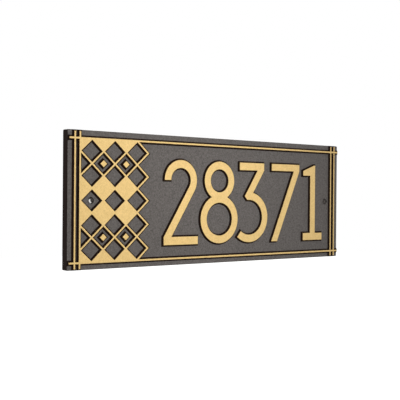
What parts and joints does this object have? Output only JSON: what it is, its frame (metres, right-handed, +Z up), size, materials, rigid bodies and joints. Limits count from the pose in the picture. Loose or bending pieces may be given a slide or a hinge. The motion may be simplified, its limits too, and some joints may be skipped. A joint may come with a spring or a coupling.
{
  "type": "house number plaque",
  "caption": "Oblong cast house number plaque with raised gold numerals, border lines and a diamond lattice panel, fixed to a wall by round-head screws.",
  "frame": {"origin": "middle of the plaque's back, on the wall", "axes": "+X along the plaque to the right as it is read, +Y into the wall, +Z up"},
  "size_m": [0.434, 0.0408, 0.155],
  "materials": {
    "casting": "sand cast, dark bronze paint, gold paint on the raised faces",
    "screw": "dark bronze plated"
  },
  "bodies": {
    "root": {"plaque": "casting", "left_screw": "screw", "right_screw": "screw"}
  },
  "joints": []
}
